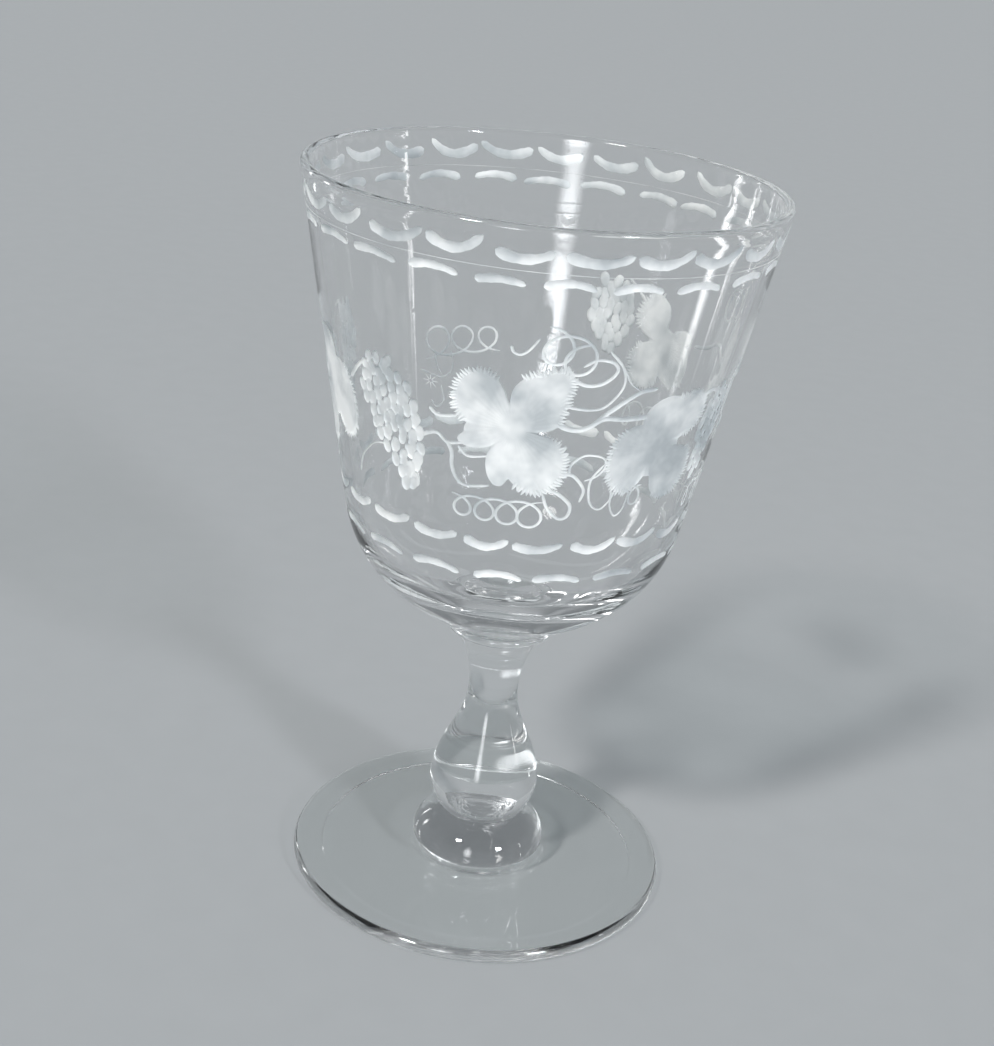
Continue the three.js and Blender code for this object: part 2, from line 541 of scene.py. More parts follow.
def makeBaseKnop():
    bottom, top, radius = nodeSpan("base_knop")
    seatRim = (radius - baseKnop["seatInset"] * mm, bottom)
    widest = (radius, bottom + baseKnop["lowerHeight"] * mm)
    creaseRim = (nodeSpan("stem")[2] - baseKnop["creaseDepth"] * mm, top)
    outline = np.vstack((
        [(0, bottom)],
        [seatRim],
        ballSide(widest, seatRim, 8)[::-1][1:],
        [widest],
        ballSide(widest, creaseRim, 28),
        [(0, top)],
    ))
    mesh = turnedMesh("squat_knop", outline, [squeezedGlass, hotSeat], True, True)
    return placePiece(mesh, "base_knop")


# Stem: a ball knop with a long shoulder, a waist and a flared neck, drawn from one solid gather.

stem = {
    "creaseDepth": 2.6, "knopLowerHeight": 6.6, "knopUpperHeight": 20.8, "waistRadius": 5.05,
    "neckTopRadius": 8.8,
}


def makeStem():
    bottom, top, radius = nodeSpan("stem")
    creaseRim = (radius - stem["creaseDepth"] * mm, bottom)
    widest = (radius, bottom + stem["knopLowerHeight"] * mm)
    waist = (stem["waistRadius"] * mm, widest[1] + stem["knopUpperHeight"] * mm)
    outline = np.vstack((
        [(0, bottom)],
        [creaseRim],
        ballSide(widest, creaseRim, 24)[::-1][1:],
        [widest],
        ogee(widest, waist, 60),
        flare(waist, (stem["neckTopRadius"] * mm, top), 36),
        [(0, top)],
    ))
    mesh = turnedMesh("drawn_stem", outline, [drawnGlass, hotSeat], True, True)
    piece = placePiece(mesh, "stem")
    stemPieces.objects.link(piece)
    return piece


# Collar: a thin disc of glass, called a merese, pressed flat between the stem and the bowl.

def makeCollar():
    bottom, top, radius = nodeSpan("collar")
    edge = (top - bottom) / 2
    centre = (radius - edge, bottom + edge)
    outline = np.vstack((
        [(0, bottom)],
        [(stem["neckTopRadius"] * mm, bottom)],
        [(centre[0], bottom)],
        halfRound(centre, edge, -math.pi / 2, 20),
        [(0, top)],
    ))
    mesh = turnedMesh("merese_collar", outline, [drawnGlass, hotSeat], True, True)
    return placePiece(mesh, "collar")


# Bowl: blown, with a thick round bottom, a wall that thins upwards and a lip swollen in the flame.

bowl = {
    "shoulderRadius": 32.8, "cheekHeight": 25.1, "cheekSlopeAngle": 27.4,
    "lipThickness": 1.8, "lipDepth": 3.0, "wallThickness": 1.5, "shoulderThickness": 2.1,
    "baseThickness": 7.2, "cheekShares": {"wall": 0.53, "seat": 0.52},
    "cupShares": {"wall": 0.66, "floor": 0.62},
}


def bowlOutlines():
    # The outside from its seat up to the lip, and the rest over the lip and down the inside.
    bottom, top, radius = nodeSpan("bowl")
    collarBottom, collarTop, collarRadius = nodeSpan("collar")
    lipRadius = bowl["lipThickness"] * mm / 2
    lipCentre = (radius - lipRadius, top - lipRadius)
    seatRim = (collarRadius - (collarTop - collarBottom) / 2, bottom)
    cheekHeight = bowl["cheekHeight"] * mm
    shoulder = (bowl["shoulderRadius"] * mm, bottom + cheekHeight)
    wallTop = (radius, lipCentre[1])
    wallSlope = (wallTop[0] - shoulder[0]) / (wallTop[1] - shoulder[1])
    wallReach = bowl["cheekShares"]["wall"] * cheekHeight
    seatReach = bowl["cheekShares"]["seat"] * (shoulder[0] - seatRim[0])
    seatSlope = math.tan(math.radians(bowl["cheekSlopeAngle"]))
    seatHandle = (seatRim[0] + seatReach, seatRim[1] + seatReach * seatSlope)
    wallHandle = (shoulder[0] - wallReach * wallSlope, shoulder[1] - wallReach)
    outside = np.vstack((
        [seatRim],
        bend(seatRim, seatHandle, wallHandle, shoulder, 48),
        straight(shoulder, wallTop, 40),
    ))
    lipDepth = bowl["lipDepth"] * mm
    lipFoot = (
        radius - wallSlope * lipDepth - bowl["wallThickness"] * mm,
        lipCentre[1] - lipDepth,
    )
    innerShoulder = (shoulder[0] - bowl["shoulderThickness"] * mm, shoulder[1])
    floor = (0, bottom + bowl["baseThickness"] * mm)
    innerSlope = (lipFoot[0] - innerShoulder[0]) / (lipFoot[1] - innerShoulder[1])
    cupReach = bowl["cupShares"]["wall"] * (innerShoulder[1] - floor[1])
    cupHandle = (innerShoulder[0] - cupReach * innerSlope, innerShoulder[1] - cupReach)
    floorHandle = (innerShoulder[0] * bowl["cupShares"]["floor"], floor[1])
    # The inner wall is straight. Its handles on its ends make the first and last steps short, so
    # that the shading of the lip and the cup stays near them.
    inside = np.vstack((
        halfRound(lipCentre, lipRadius, 0, 14),
        straight((lipCentre[0] - lipRadius, lipCentre[1]), lipFoot, 4),
        bend(lipFoot, lipFoot, innerShoulder, innerShoulder, 8),
        bend(innerShoulder, cupHandle, floorHandle, floor, 36),
    ))
    return outside, inside


outside, inside = bowlOutlines()


def outwardNormals(outline):
    # For each point of an outline that runs upwards: its direction turned a quarter clockwise.
    along = np.gradient(outline, axis=0)
    along /= np.linalg.norm(along, axis=1, keepdims=True)
    return np.column_stack((along[:, 1], -along[:, 0]))


outsideNormals = outwardNormals(outside)


def wallNormal(height):
    # The outside's normal at a height, as its outward and its upward part.
    outward = np.interp(height, outside[:, 1], outsideNormals[:, 0])
    upward = np.interp(height, outside[:, 1], outsideNormals[:, 1])
    length = np.hypot(outward, upward)
    return outward / length, upward / length


def wallRadius(height):
    return np.interp(height, outside[:, 1], outside[:, 0])


def onWall(turn, height, proud):
    # The point at that turn (radians) and height on the bowl's outside, moved outwards by proud:
    # x = r cos a, y = r sin a with r = R(h) + p n_r, and z = h + p n_z.
    outward, upward = wallNormal(height)
    radius = wallRadius(height) + proud * outward
    return np.stack(
        (radius * np.cos(turn), radius * np.sin(turn), height + proud * upward), axis=-1
    )


# Cutters. Each is a closed solid that the wheel would take out of the wall. Across a stroke the
# bottom is a parabola: p = -d + (d + lift) t^2, so it meets the surface at its half width.

cutterObjects = bpy.data.collections.new("wheelCuts")
bpy.context.scene.collection.children.link(cutterObjects)
cutLift = 0.25 * mm  # how far a cutter stands out of the wall


def addCutter(name, points, faces):
    # One cutter, or several that don't touch each other, with the faces turned outwards.
    mesh = bpy.data.meshes.new(name)
    mesh.from_pydata(points, [], faces)
    for material in (blownGlass, hotSeat, stoneCut):
        mesh.materials.append(material)
    mesh.polygons.foreach_set("material_index", np.full(len(mesh.polygons), 2, np.int32))
    mesh.update()
    cutter = bpy.data.objects.new(name, mesh)
    cutterObjects.objects.link(cutter)
    return cutter


def cutStrokes(name, turn, height, halfWidth, depth):
    # Strokes of the wheel along paths. turn, height, halfWidth and depth are arrays of stroke by
    # step. A ring of section points, t from -1 to 1, is carried along each path: the place is
    # moved sideways by t times the half width, square to the path, and sunk by the parabola.
    count, steps = turn.shape
    section = np.linspace(-1, 1, 7)
    radius = wallRadius(height)
    forward = np.gradient(turn, axis=1) * radius
    upward = np.gradient(height, axis=1)
    length = np.hypot(forward, upward)
    reach = halfWidth / np.sqrt(depth / (depth + cutLift))
    sideTurn = (-upward / length * reach / radius)[..., None] * section
    sideHeight = (forward / length * reach)[..., None] * section
    proud = -depth[..., None] + (depth[..., None] + cutLift) * section ** 2
    points = onWall(turn[..., None] + sideTurn, height[..., None] + sideHeight, proud)
    ring = len(section)
    corner = np.arange(ring)
    following = np.roll(corner, -1)
    starts = (np.arange(steps - 1) * ring)[:, None]
    sides = np.stack(
        (starts + corner, starts + following, starts + following + ring, starts + corner + ring),
        axis=-1,
    ).reshape(-1, 4)
    caps = np.stack((corner[::-1], corner + (steps - 1) * ring))
    offsets = (np.arange(count) * steps * ring)[:, None, None]
    faces = (sides + offsets).reshape(-1, 4).tolist() + (caps + offsets).reshape(-1, ring).tolist()
    return addCutter(name, points.reshape(-1, 3), faces)


def cutHollow(name, turn, height, edge, depth, ripples=0, rippleDepth=0.0):
    # A flat-bottomed hollow round a place. edge is its outline, anticlockwise: rows of across and
    # up. At a share s of the way out the bottom is p = -d + (d + lift) s^8, with radial ripples if
    # asked, and the lid follows the wall at p = lift.
    shares = np.array([0.25, 0.5, 0.75, 0.88, 1.0, 0.8, 0.5, 0.25])
    isLid = np.arange(len(shares)) > 4
    proud = np.where(isLid, cutLift, -depth + (depth + cutLift) * shares ** 8)
    corner = np.arange(len(edge))
    wave = np.sin(corner * 2 * np.pi * ripples / len(edge)) * rippleDepth
    wave = wave * np.where(isLid, 0, shares * (1 - shares) * 4)[:, None]
    flat = edge * shares[:, None, None] / (depth / (depth + cutLift)) ** 0.125
    middle = np.zeros((1, 2))
    places = np.concatenate((middle, flat.reshape(-1, 2), middle))
    sunk = np.concatenate(([-depth], (proud[:, None] + wave).ravel(), [cutLift]))
    heights = height + places[:, 1]
    points = onWall(turn + places[:, 0] / wallRadius(heights), heights, sunk)
    first = corner + 1
    following = np.roll(first, -1)
    starts = (np.arange(len(shares) - 1) * len(edge))[:, None]
    sides = np.stack(
        (first + starts, following + starts, following + starts + len(edge),
         first + starts + len(edge)), axis=-1,
    ).reshape(-1, 4)
    last = (len(shares) - 1) * len(edge)
    bottom = np.column_stack((np.zeros_like(first), following, first))
    top = np.column_stack((first + last, following + last, np.full_like(first, len(points) - 1)))
    return addCutter(name, points, bottom.tolist() + sides.tolist() + top.tolist())


# Dash borders: two rows under the lip and two on the cheek, each dash one press of the wheel that
# starts blunt and lifts off to a point. The wheel was turned over between rows.

borders = {
    "lipUpper": {"height": 140.1, "count": 24, "start": -93.0, "length": 10.4, "width": 1.9,
                 "bow": 1.5, "flick": 1.1},
    "lipLower": {"height": 135.6, "count": 23, "start": -98.0, "length": 9.2, "width": 1.5,
                 "bow": -0.8, "flick": 0.0},
    "cheekUpper": {"height": 86.0, "count": 22, "start": -97.0, "length": 8.4, "width": 1.8,
                   "bow": 1.2, "flick": 0.5},
    "cheekLower": {"height": 79.6, "count": 18, "start": -93.0, "length": 9.4, "width": 1.55,
                   "bow": -0.8, "flick": -0.3},
}
handSeed = 11  # the engraver's hand: small slips in place, length and bow
cutDepth = 0.24 * mm


def cutBorder(name, row, hand):
    # A dash follows h = h0 + bow ((2s-1)^2 - 1/3) + flick s^4, and its half width swells at once
    # and then thins: w (1.08 - 0.34 s^1.6) times a rounded start and end and a slight tremble.
    count, steps = row["count"], 25
    share = np.linspace(0, 1, steps)
    middle = np.radians(row["start"]) + np.arange(count) * 2 * np.pi / count
    middle += np.radians(hand.normal(0, 0.55, count))
    height = row["height"] * mm + hand.normal(0, 0.16, count) * mm
    radius = wallRadius(height)
    length = row["length"] * mm * hand.uniform(0.9, 1.08, count)
    bow = row["bow"] * mm * hand.uniform(0.7, 1.25, count)
    tilt = hand.normal(0, 0.03, count)
    along = (share - 0.5) * length[:, None]
    turn = middle[:, None] + along / radius[:, None]
    rise = bow[:, None] * ((2 * share - 1) ** 2 - 1 / 3) + tilt[:, None] * along
    rise += row["flick"] * mm * hand.uniform(0.4, 1.5, count)[:, None] * share ** 4
    rounded = np.sqrt(np.clip(1 - (1 - share / 0.1).clip(0) ** 2, 0.03, 1))
    lifted = np.sqrt(np.clip(1 - (1 - (1 - share) / 0.09).clip(0) ** 2, 0.05, 1))
    tremble = 1 + 0.07 * np.sin(share * 17 + hand.uniform(0, 6, count)[:, None])
    tremble += 0.04 * np.sin(share * 43 + hand.uniform(0, 6, count)[:, None])
    halfWidth = row["width"] * mm / 2 * (1.08 - 0.34 * share ** 1.6) * rounded * lifted * tremble
    depth = cutDepth * (0.35 + 0.65 * halfWidth / halfWidth.max())
    cutStrokes(name, turn, height[:, None] + rise, halfWidth, depth)


def cutScribedLine():
    # A fine line scribed all round between the two upper rows, in six arcs whose ends overlap.
    line = {"height": 137.4, "width": 0.1, "depth": 0.04, "arcs": 6, "steps": 40, "overlap": 0.02}
    for arc in range(line["arcs"]):
        span = 2 * np.pi / line["arcs"]
        turn = np.linspace(arc * span, (arc + 1) * span + line["overlap"], line["steps"])[None, :]
        drift = 0.08 * mm * np.sin(3 * turn)
        sizes = np.ones_like(turn)
        cutStrokes(
            "scribedLine", turn, line["height"] * mm + drift,
            line["width"] * mm / 2 * sizes, line["depth"] * mm * sizes,
        )


hand = np.random.default_rng(handSeed)
for rowName, row in borders.items():
    cutBorder(rowName, row, hand)
cutScribedLine()
print("dash borders laid out")


# Vine leaves: lobes round a middle, in millimetres across and up from the leaf's middle. Fringes
# are the bearings between which the edge is toothed, and the other lobes are smooth.

vineLeaf = {
    "lobes": [
        {"place": (0.0, 0.0), "size": (4.3, 5.2), "lean": 0},
        {"place": (-6.1, 4.9), "size": (4.7, 5.4), "lean": 8},
        {"place": (-4.4, -0.8), "size": (4.2, 3.0), "lean": 14},
        {"place": (-6.0, -2.7), "size": (3.6, 1.7), "lean": 10},
        {"place": (4.0, 6.0), "size": (5.0, 4.8), "lean": 30},
        {"place": (6.1, 8.2), "size": (3.9, 3.1), "lean": 50},
        {"place": (4.6, 3.0), "size": (3.7, 2.9), "lean": 0},
        {"place": (4.3, -6.2), "size": (5.3, 5.7), "lean": 0},
        {"place": (-2.1, -7.3), "size": (2.1, 4.1), "lean": 6},
    ],
    "fringes": [(109, 178), (8, 86), (-86, -6)],
}
broadLeaf = {
    "lobes": [
        {"place": (0.0, 0.6), "size": (5.4, 6.0), "lean": 0},
        {"place": (-5.0, -1.2), "size": (4.5, 6.9), "lean": 4},
        {"place": (0.6, 6.6), "size": (5.2, 4.2), "lean": 0},
        {"place": (6.2, 6.4), "size": (4.6, 4.2), "lean": 0},
        {"place": (5.5, -5.2), "size": (5.0, 5.3), "lean": -20},
    ],
    "fringes": [(146, 250), (282, 356), (16, 76)],
}
trefoilLeaf = {
    "lobes": [
        {"place": (0.0, 0.0), "size": (3.6, 3.6), "lean": 0},
        {"place": (3.6, 4.8), "size": (4.3, 4.4), "lean": 0},
        {"place": (2.9, -4.9), "size": (4.4, 4.6), "lean": 0},
        {"place": (-4.8, -2.6), "size": (4.9, 4.9), "lean": 0},
        {"place": (-5.6, 2.6), "size": (3.6, 1.7), "lean": -10},
    ],
    "fringes": [(14, 75), (262, 350), (205, 238)],
}
leafCut = {
    "depth": 0.3, "ripples": 46, "rippleDepth": 0.012, "corners": 276,
    "toothPitch": 0.6, "toothLength": 0.8, "toothWidth": 0.7,
}


def lobeReach(lobe, bearing):
    # How far a ray from the leaf's middle goes until it leaves a lobe: the larger root t of
    # |A (t d - c)| = 1, where A turns and shrinks the lobe's oval to a unit circle.
    lean = math.radians(lobe["lean"])
    turned = np.array([[math.cos(lean), math.sin(lean)], [-math.sin(lean), math.cos(lean)]])
    unit = turned / np.array(lobe["size"])[:, None]
    ray = unit @ np.stack((np.cos(bearing), np.sin(bearing)))
    centre = unit @ np.array(lobe["place"])
    square = (ray ** 2).sum(axis=0)
    half = (ray * centre[:, None]).sum(axis=0)
    root = half ** 2 - square * ((centre ** 2).sum() - 1)
    return np.where(root > 0, (half + np.sqrt(np.clip(root, 0, None))) / square, 0)


def leafEdge(shape):
    # The leaf's outline: at each bearing the furthest reach of its lobes, with the clefts eased.
    bearing = np.linspace(0, 2 * np.pi, leafCut["corners"], endpoint=False)
    reach = np.max([lobeReach(lobe, bearing) for lobe in shape["lobes"]], axis=0)
    reach = (np.roll(reach, 1) + 2 * reach + np.roll(reach, -1)) / 4
    return np.column_stack((reach * np.cos(bearing), reach * np.sin(bearing)))


def leafTeeth(edge, fringe, hand):
    # Short pointed strokes that start inside the edge and run out across it, square to it, like a
    # fringe. They come back as paths: tooth by step by across and up.
    bearing = np.degrees(np.arctan2(edge[:, 1], edge[:, 0]))
    stretch = edge[np.argsort((bearing - fringe[0]) % 360)]
    stretch = stretch[:np.count_nonzero((bearing - fringe[0]) % 360 < fringe[1] - fringe[0])]
    steps = np.linalg.norm(np.diff(stretch, axis=0), axis=1)
    travelled = np.concatenate(([0], np.cumsum(steps)))
    count = int(travelled[-1] / leafCut["toothPitch"])
    places = (np.arange(count) + 0.5 + hand.normal(0, 0.13, count)) / count * travelled[-1]
    footing = np.column_stack([np.interp(places, travelled, stretch[:, i]) for i in (0, 1)])
    ahead = np.column_stack([np.interp(places + 1, travelled, stretch[:, i]) for i in (0, 1)])
    behind = np.column_stack([np.interp(places - 1, travelled, stretch[:, i]) for i in (0, 1)])
    outward = np.arctan2(ahead[:, 1] - behind[:, 1], ahead[:, 0] - behind[:, 0]) - np.pi / 2
    outward += hand.normal(0.12, 0.16, count)
    length = leafCut["toothLength"] * hand.uniform(0.6, 1.25, count)
    run = np.linspace(0, 1, 6) * (length[:, None] + 0.6) - 0.6
    direction = np.stack((np.cos(outward), np.sin(outward)), axis=-1)
    return footing[:, None, :] + direction[:, None, :] * run[..., None]


def cutLeaf(name, shape, turn, height, scale, turnBy, flip, hand):
    # One leaf, scaled, turned about its middle and mirrored if asked.
    lean = math.radians(turnBy)
    put = scale * mm * np.array([[math.cos(lean), -math.sin(lean)], [math.sin(lean), math.cos(lean)]])
    put = put @ np.diag((-1.0 if flip else 1.0, 1.0))
    edge = leafEdge(shape)
    placed = edge @ put.T
    cutHollow(
        name, math.radians(turn), height * mm, placed[::-1] if flip else placed,
        leafCut["depth"] * mm, leafCut["ripples"], leafCut["rippleDepth"] * mm,
    )
    for fringe in shape["fringes"]:
        teeth = leafTeeth(edge, fringe, hand) @ put.T
        heights = height * mm + teeth[..., 1]
        turns = math.radians(turn) + teeth[..., 0] / wallRadius(heights)
        share = np.linspace(0, 1, teeth.shape[1]) * np.ones((len(teeth), 1))
        halfWidth = leafCut["toothWidth"] * mm / 2 * (1.15 - share ** 1.6)
        depth = leafCut["depth"] * mm * (0.8 - 0.5 * share)
        for parity in (0, 1):
            pick = slice(parity, None, 2)
            cutStrokes(name + "Teeth", turns[pick], heights[pick], halfWidth[pick], depth[pick])


# Bunches of grapes: rows of oval berries, each one dab of the wheel, that nearly touch and leave
# dark gaps. The bunch hangs as a drop, wide above and narrow below.

berry = {"size": (0.93, 1.45), "pitch": (1.66, 2.0), "depth": 0.3, "corners": 20, "sway": 0.35}


def ovalEdge(size, lean, corners):
    # An oval outline, x = a cos t and y = b sin t, turned by its lean.
    angle = np.linspace(0, 2 * np.pi, corners, endpoint=False)
    across, up = size[0] * mm * np.cos(angle), size[1] * mm * np.sin(angle)
    turn = math.radians(lean)
    return np.column_stack((
        across * math.cos(turn) - up * math.sin(turn),
        across * math.sin(turn) + up * math.cos(turn),
    ))


def cutBunch(name, turn, height, width, drop, lean, hand, swell=1.0):
    # Columns of berries sway from side to side as they hang, and a row's length follows the drop's
    # outline: w sqrt(1 - (2s-1)^2) (1.2 - 0.7 s). Swollen berries close up to dark slits.
    rows = int(drop / berry["pitch"][1])
    for rowNumber in range(rows):
        share = (rowNumber + 0.5) / rows
        rowWidth = width * math.sqrt(1 - (2 * share - 1) ** 2) * (1.2 - 0.7 * share)
        count = max(1, round(rowWidth / berry["pitch"][0]))
        for column in range(count):
            across = (column - (count - 1) / 2) * berry["pitch"][0]
            across += berry["sway"] * math.sin(rowNumber * 1.5 + column * 0.8)
            up = drop * (0.5 - share) + 0.6 * math.sin(column * 2.4)
            across, up = across + hand.normal(0, 0.1), up + hand.normal(0, 0.15)
            leaning = across + lean * up
            centreHeight = (height + up) * mm
            radius = wallRadius(centreHeight)
            edge = ovalEdge(
                swell * np.array(berry["size"]) * hand.uniform(0.88, 1.1), hand.normal(0, 14),
                berry["corners"],
            )
            cutHollow(
                name, math.radians(turn) + leaning * mm / radius, centreHeight, edge,
                berry["depth"] * mm * hand.uniform(0.8, 1.1),
            )


# Lines of the vine: forked shoots, and tendrils that curl in loops. Places are degrees round the
# bowl and millimetres up.

lineSteps = 9  # steps of a path that one cutter takes, so that a loop never crosses its own cutter


def smoothPath(points, stepsBetween=8):
    # A Catmull-Rom curve through the points: each stretch is a cubic set by its four neighbours.
    padded = np.vstack((2 * points[0] - points[1], points, 2 * points[-1] - points[-2]))
    share = np.linspace(0, 1, stepsBetween, endpoint=False)[:, None]
    before, start, end, after = (padded[i:len(padded) - 3 + i, None, :] for i in range(4))
    curve = 0.5 * (
        2 * start
        + (end - before) * share
        + (2 * before - 5 * start + 4 * end - after) * share ** 2
        + (3 * start - before - 3 * end + after) * share ** 3
    )
    return np.vstack((curve.reshape(-1, 2), points[-1:]))


def cutLine(name, path, startWidth, endWidth, depth):
    # A path of degrees and millimetres, cut in short overlapping pieces, its width running evenly
    # from one end to the other and lifting off at both.
    share = np.linspace(0, 1, len(path))
    width = startWidth + (endWidth - startWidth) * share
    width = width * np.sqrt(np.clip(np.minimum(share, 1 - share) / 0.04, 0.15, 1))
    for start in range(0, len(path) - 1, lineSteps):
        piece = slice(max(0, start - 1), min(len(path), start + lineSteps + 2))
        halfWidth = width[None, piece] * mm / 2
        cutStrokes(
            name, np.radians(path[None, piece, 0]), path[None, piece, 1] * mm, halfWidth,
            depth * mm * halfWidth / halfWidth.max(),
        )


def loopChain(start, end, loops, size, growth=1.0, phase=0.0):
    # A row of hanging loops: a point runs from start to end while it circles, so that
    # u = u0 + (u1-u0) s + a sin t, h = h0 + (h1-h0) s + b (cos t - 1), with t = 2 pi (n s + phase)
    # and a and b growing. A phase of half a turn starts at the bottom, so each loop is whole.
    share = np.linspace(0, 1, loops * 28 + 1)
    turn = 2 * np.pi * (loops * share + phase)
    grown = 1 + (growth - 1) * share
    degreesAcross = math.degrees(size[0] / 38)
    across = between(start[0], end[0], share) + degreesAcross * grown * np.sin(turn)
    up = between(start[1], end[1], share) + size[1] * grown * (np.cos(turn) - 1)
    return np.column_stack((across, up))


leaves = [
    {"name": "frontLeaf", "shape": vineLeaf, "turn": -92.0, "height": 109.0, "scale": 1.0,
     "turnBy": 0, "flip": False},
    {"name": "rightLeaf", "shape": broadLeaf, "turn": -51.0, "height": 105.0, "scale": 0.98,
     "turnBy": 0, "flip": False},
    {"name": "farRightLeaf", "shape": vineLeaf, "turn": -6.0, "height": 109.0, "scale": 0.9,
     "turnBy": 12, "flip": False},
    {"name": "backRightLeaf", "shape": trefoilLeaf, "turn": 43.2, "height": 107.9, "scale": 1.0,
     "turnBy": 0, "flip": False},
    {"name": "leftLeaf", "shape": broadLeaf, "turn": -157.5, "height": 106.0, "scale": 1.04,
     "turnBy": 8, "flip": True},
]
bunches = [
    {"name": "leftGrapes", "turn": -125.8, "height": 105.2, "width": 14.0, "drop": 24.0, "lean": -0.29},
    {"name": "rightGrapes", "turn": -28.0, "height": 105.5, "width": 9.5, "drop": 18.0, "lean": 0.05},
    {"name": "backRightGrapes", "turn": 64.2, "height": 110.4, "width": 11.2, "drop": 14.8, "lean": 0.1,
     "swell": 1.08},
    {"name": "backLeftGrapes", "turn": 171.0, "height": 106.0, "width": 11.0, "drop": 18.0, "lean": -0.08},
]
shoots = [
    {"points": [(-80.7, 110.5), (-76.4, 109.8), (-72.4, 110.6), (-67.9, 113.4), (-61.0, 116.7),
                (-56.0, 117.2)], "width": (1.05, 0.85)},
    {"points": [(-71.4, 111.1), (-68.6, 112.0), (-63.5, 111.8), (-56.4, 112.0)],
     "width": (0.8, 1.15)},
    {"points": [(-40.0, 112.5), (-34.5, 114.6), (-27.0, 113.6), (-19.5, 112.0)],
     "width": (0.9, 0.7)},
    {"points": [(4.0, 111.5), (12.0, 113.8), (20.0, 111.6), (27.5, 110.4)], "width": (0.9, 0.7)},
    {"points": [(51.0, 112.5), (54.5, 115.6), (60.5, 118.6)], "width": (0.8, 0.6)},
    {"points": [(-168.5, 110.0), (-174.0, 113.2), (-181.0, 115.8), (-187.0, 115.6)],
     "width": (0.9, 0.6)},
    {"points": [(-143.0, 110.5), (-138.0, 114.0), (-131.5, 116.8)], "width": (0.8, 0.6)},
]
tendrils = [
    # under the front leaf's wing and round to its smallest lobe
    {"points": [(-118.0, 104.4), (-114.2, 105.7), (-111.8, 105.9), (-109.1, 104.6), (-104.6, 105.2)],
     "width": 0.85},
    {"points": [(-109.3, 104.9), (-107.9, 102.9), (-107.8, 100.3), (-106.2, 97.9), (-103.4, 97.0),
                (-97.0, 97.7)], "width": 0.85},
    {"points": [(-106.1, 104.4), (-103.4, 102.8), (-97.8, 103.4)], "width": 0.65},
    {"points": [(-114.3, 110.5), (-111.8, 109.4), (-106.6, 110.1)], "width": 0.8},
    # from the front leaf's right side up round its curls, and the lowest of these curls
    {"points": [(-79.4, 114.1), (-74.0, 113.7), (-69.9, 114.2), (-66.5, 116.9), (-65.9, 119.4),
                (-67.7, 122.2), (-71.2, 124.6)], "width": 0.6},
    {"points": [(-71.2, 124.6), (-66.8, 121.4), (-64.0, 118.6), (-60.5, 116.9)], "width": 0.45},
    {"points": [(-80.6, 121.6), (-79.0, 119.4), (-75.2, 118.2), (-71.2, 118.7), (-68.4, 120.7),
                (-69.6, 122.4), (-73.7, 122.9), (-76.9, 121.6)], "width": 0.8},
    # the lowest loop under the front leaf
    {"points": [(-84.0, 98.2), (-81.4, 98.0), (-77.6, 97.1), (-74.1, 95.0), (-74.3, 92.8),
                (-76.9, 92.3), (-80.5, 94.4), (-82.3, 97.2)], "width": 0.8},
    # between the front and the right leaf
    {"points": [(-78.4, 101.2), (-75.4, 101.1), (-73.3, 100.2), (-70.9, 98.0), (-71.5, 95.6)],
     "width": 0.75},
    {"points": [(-75.8, 101.2), (-75.6, 103.1), (-72.3, 104.9), (-67.1, 104.4), (-66.0, 102.6),
                (-67.8, 100.8), (-71.2, 99.9)], "width": 0.5},
    {"points": [(-66.4, 103.0), (-69.4, 99.8), (-68.4, 95.6), (-65.0, 94.0), (-61.9, 96.2),
                (-61.2, 99.4)], "width": 0.5},
    {"points": [(-62.4, 97.6), (-61.6, 94.4), (-59.4, 92.4), (-57.2, 93.6), (-56.4, 97.0)],
     "width": 0.45},
    # left of the grapes, and on the far side under the bare place
    {"points": [(-143.0, 92.4), (-140.4, 96.2), (-134.6, 99.6), (-129.6, 100.6)], "width": 0.5},
    {"points": [(129.6, 96.8), (123.7, 95.2), (120.8, 94.8), (118.0, 95.5), (116.9, 97.3),
                (117.6, 100.0)], "width": 0.45},
    {"points": [(124.0, 99.8), (123.1, 97.5), (121.3, 95.3)], "width": 0.4},
    {"points": [(121.5, 93.2), (120.4, 90.0), (123.4, 88.8), (125.6, 90.4)], "width": 0.4},
    # the hook where the curls over the front leaf begin
    {"points": [(-94.2, 124.4), (-93.5, 123.3), (-91.8, 123.0), (-89.9, 124.0), (-87.9, 126.1)],
     "width": 0.6},
]
curls = [
    {"start": (-107.6, 95.0), "end": (-81.8, 95.4), "loops": 4, "size": (2.5, 1.95), "growth": 1.35,
     "width": 0.55},
    {"start": (-86.0, 128.4), "end": (-75.0, 125.6), "loops": 2, "size": (3.1, 2.9), "growth": 1.1,
     "width": 0.6},
    {"start": (-56.0, 98.2), "end": (-52.5, 98.2), "loops": 1, "size": (1.7, 1.9), "growth": 1.0,
     "width": 0.45},
    {"start": (127.3, 105.2), "end": (100.2, 104.8), "loops": 3, "size": (4.5, 3.25), "growth": 0.72,
     "phase": 0.5, "width": 0.5},
    {"start": (-30.0, 94.6), "end": (-3.0, 95.6), "loops": 4, "size": (1.7, 2.2), "growth": 1.25,
     "width": 0.5},
    {"start": (26.0, 95.6), "end": (54.0, 95.0), "loops": 4, "size": (1.7, 2.2), "growth": 1.2,
     "width": 0.5},
    {"start": (196.0, 94.8), "end": (170.0, 94.2), "loops": 4, "size": (1.7, 2.2), "growth": 1.2,
     "width": 0.5},
    {"start": (4.0, 126.5), "end": (16.0, 123.6), "loops": 2, "size": (2.9, 2.7), "growth": 1.1,
     "width": 0.55},
]


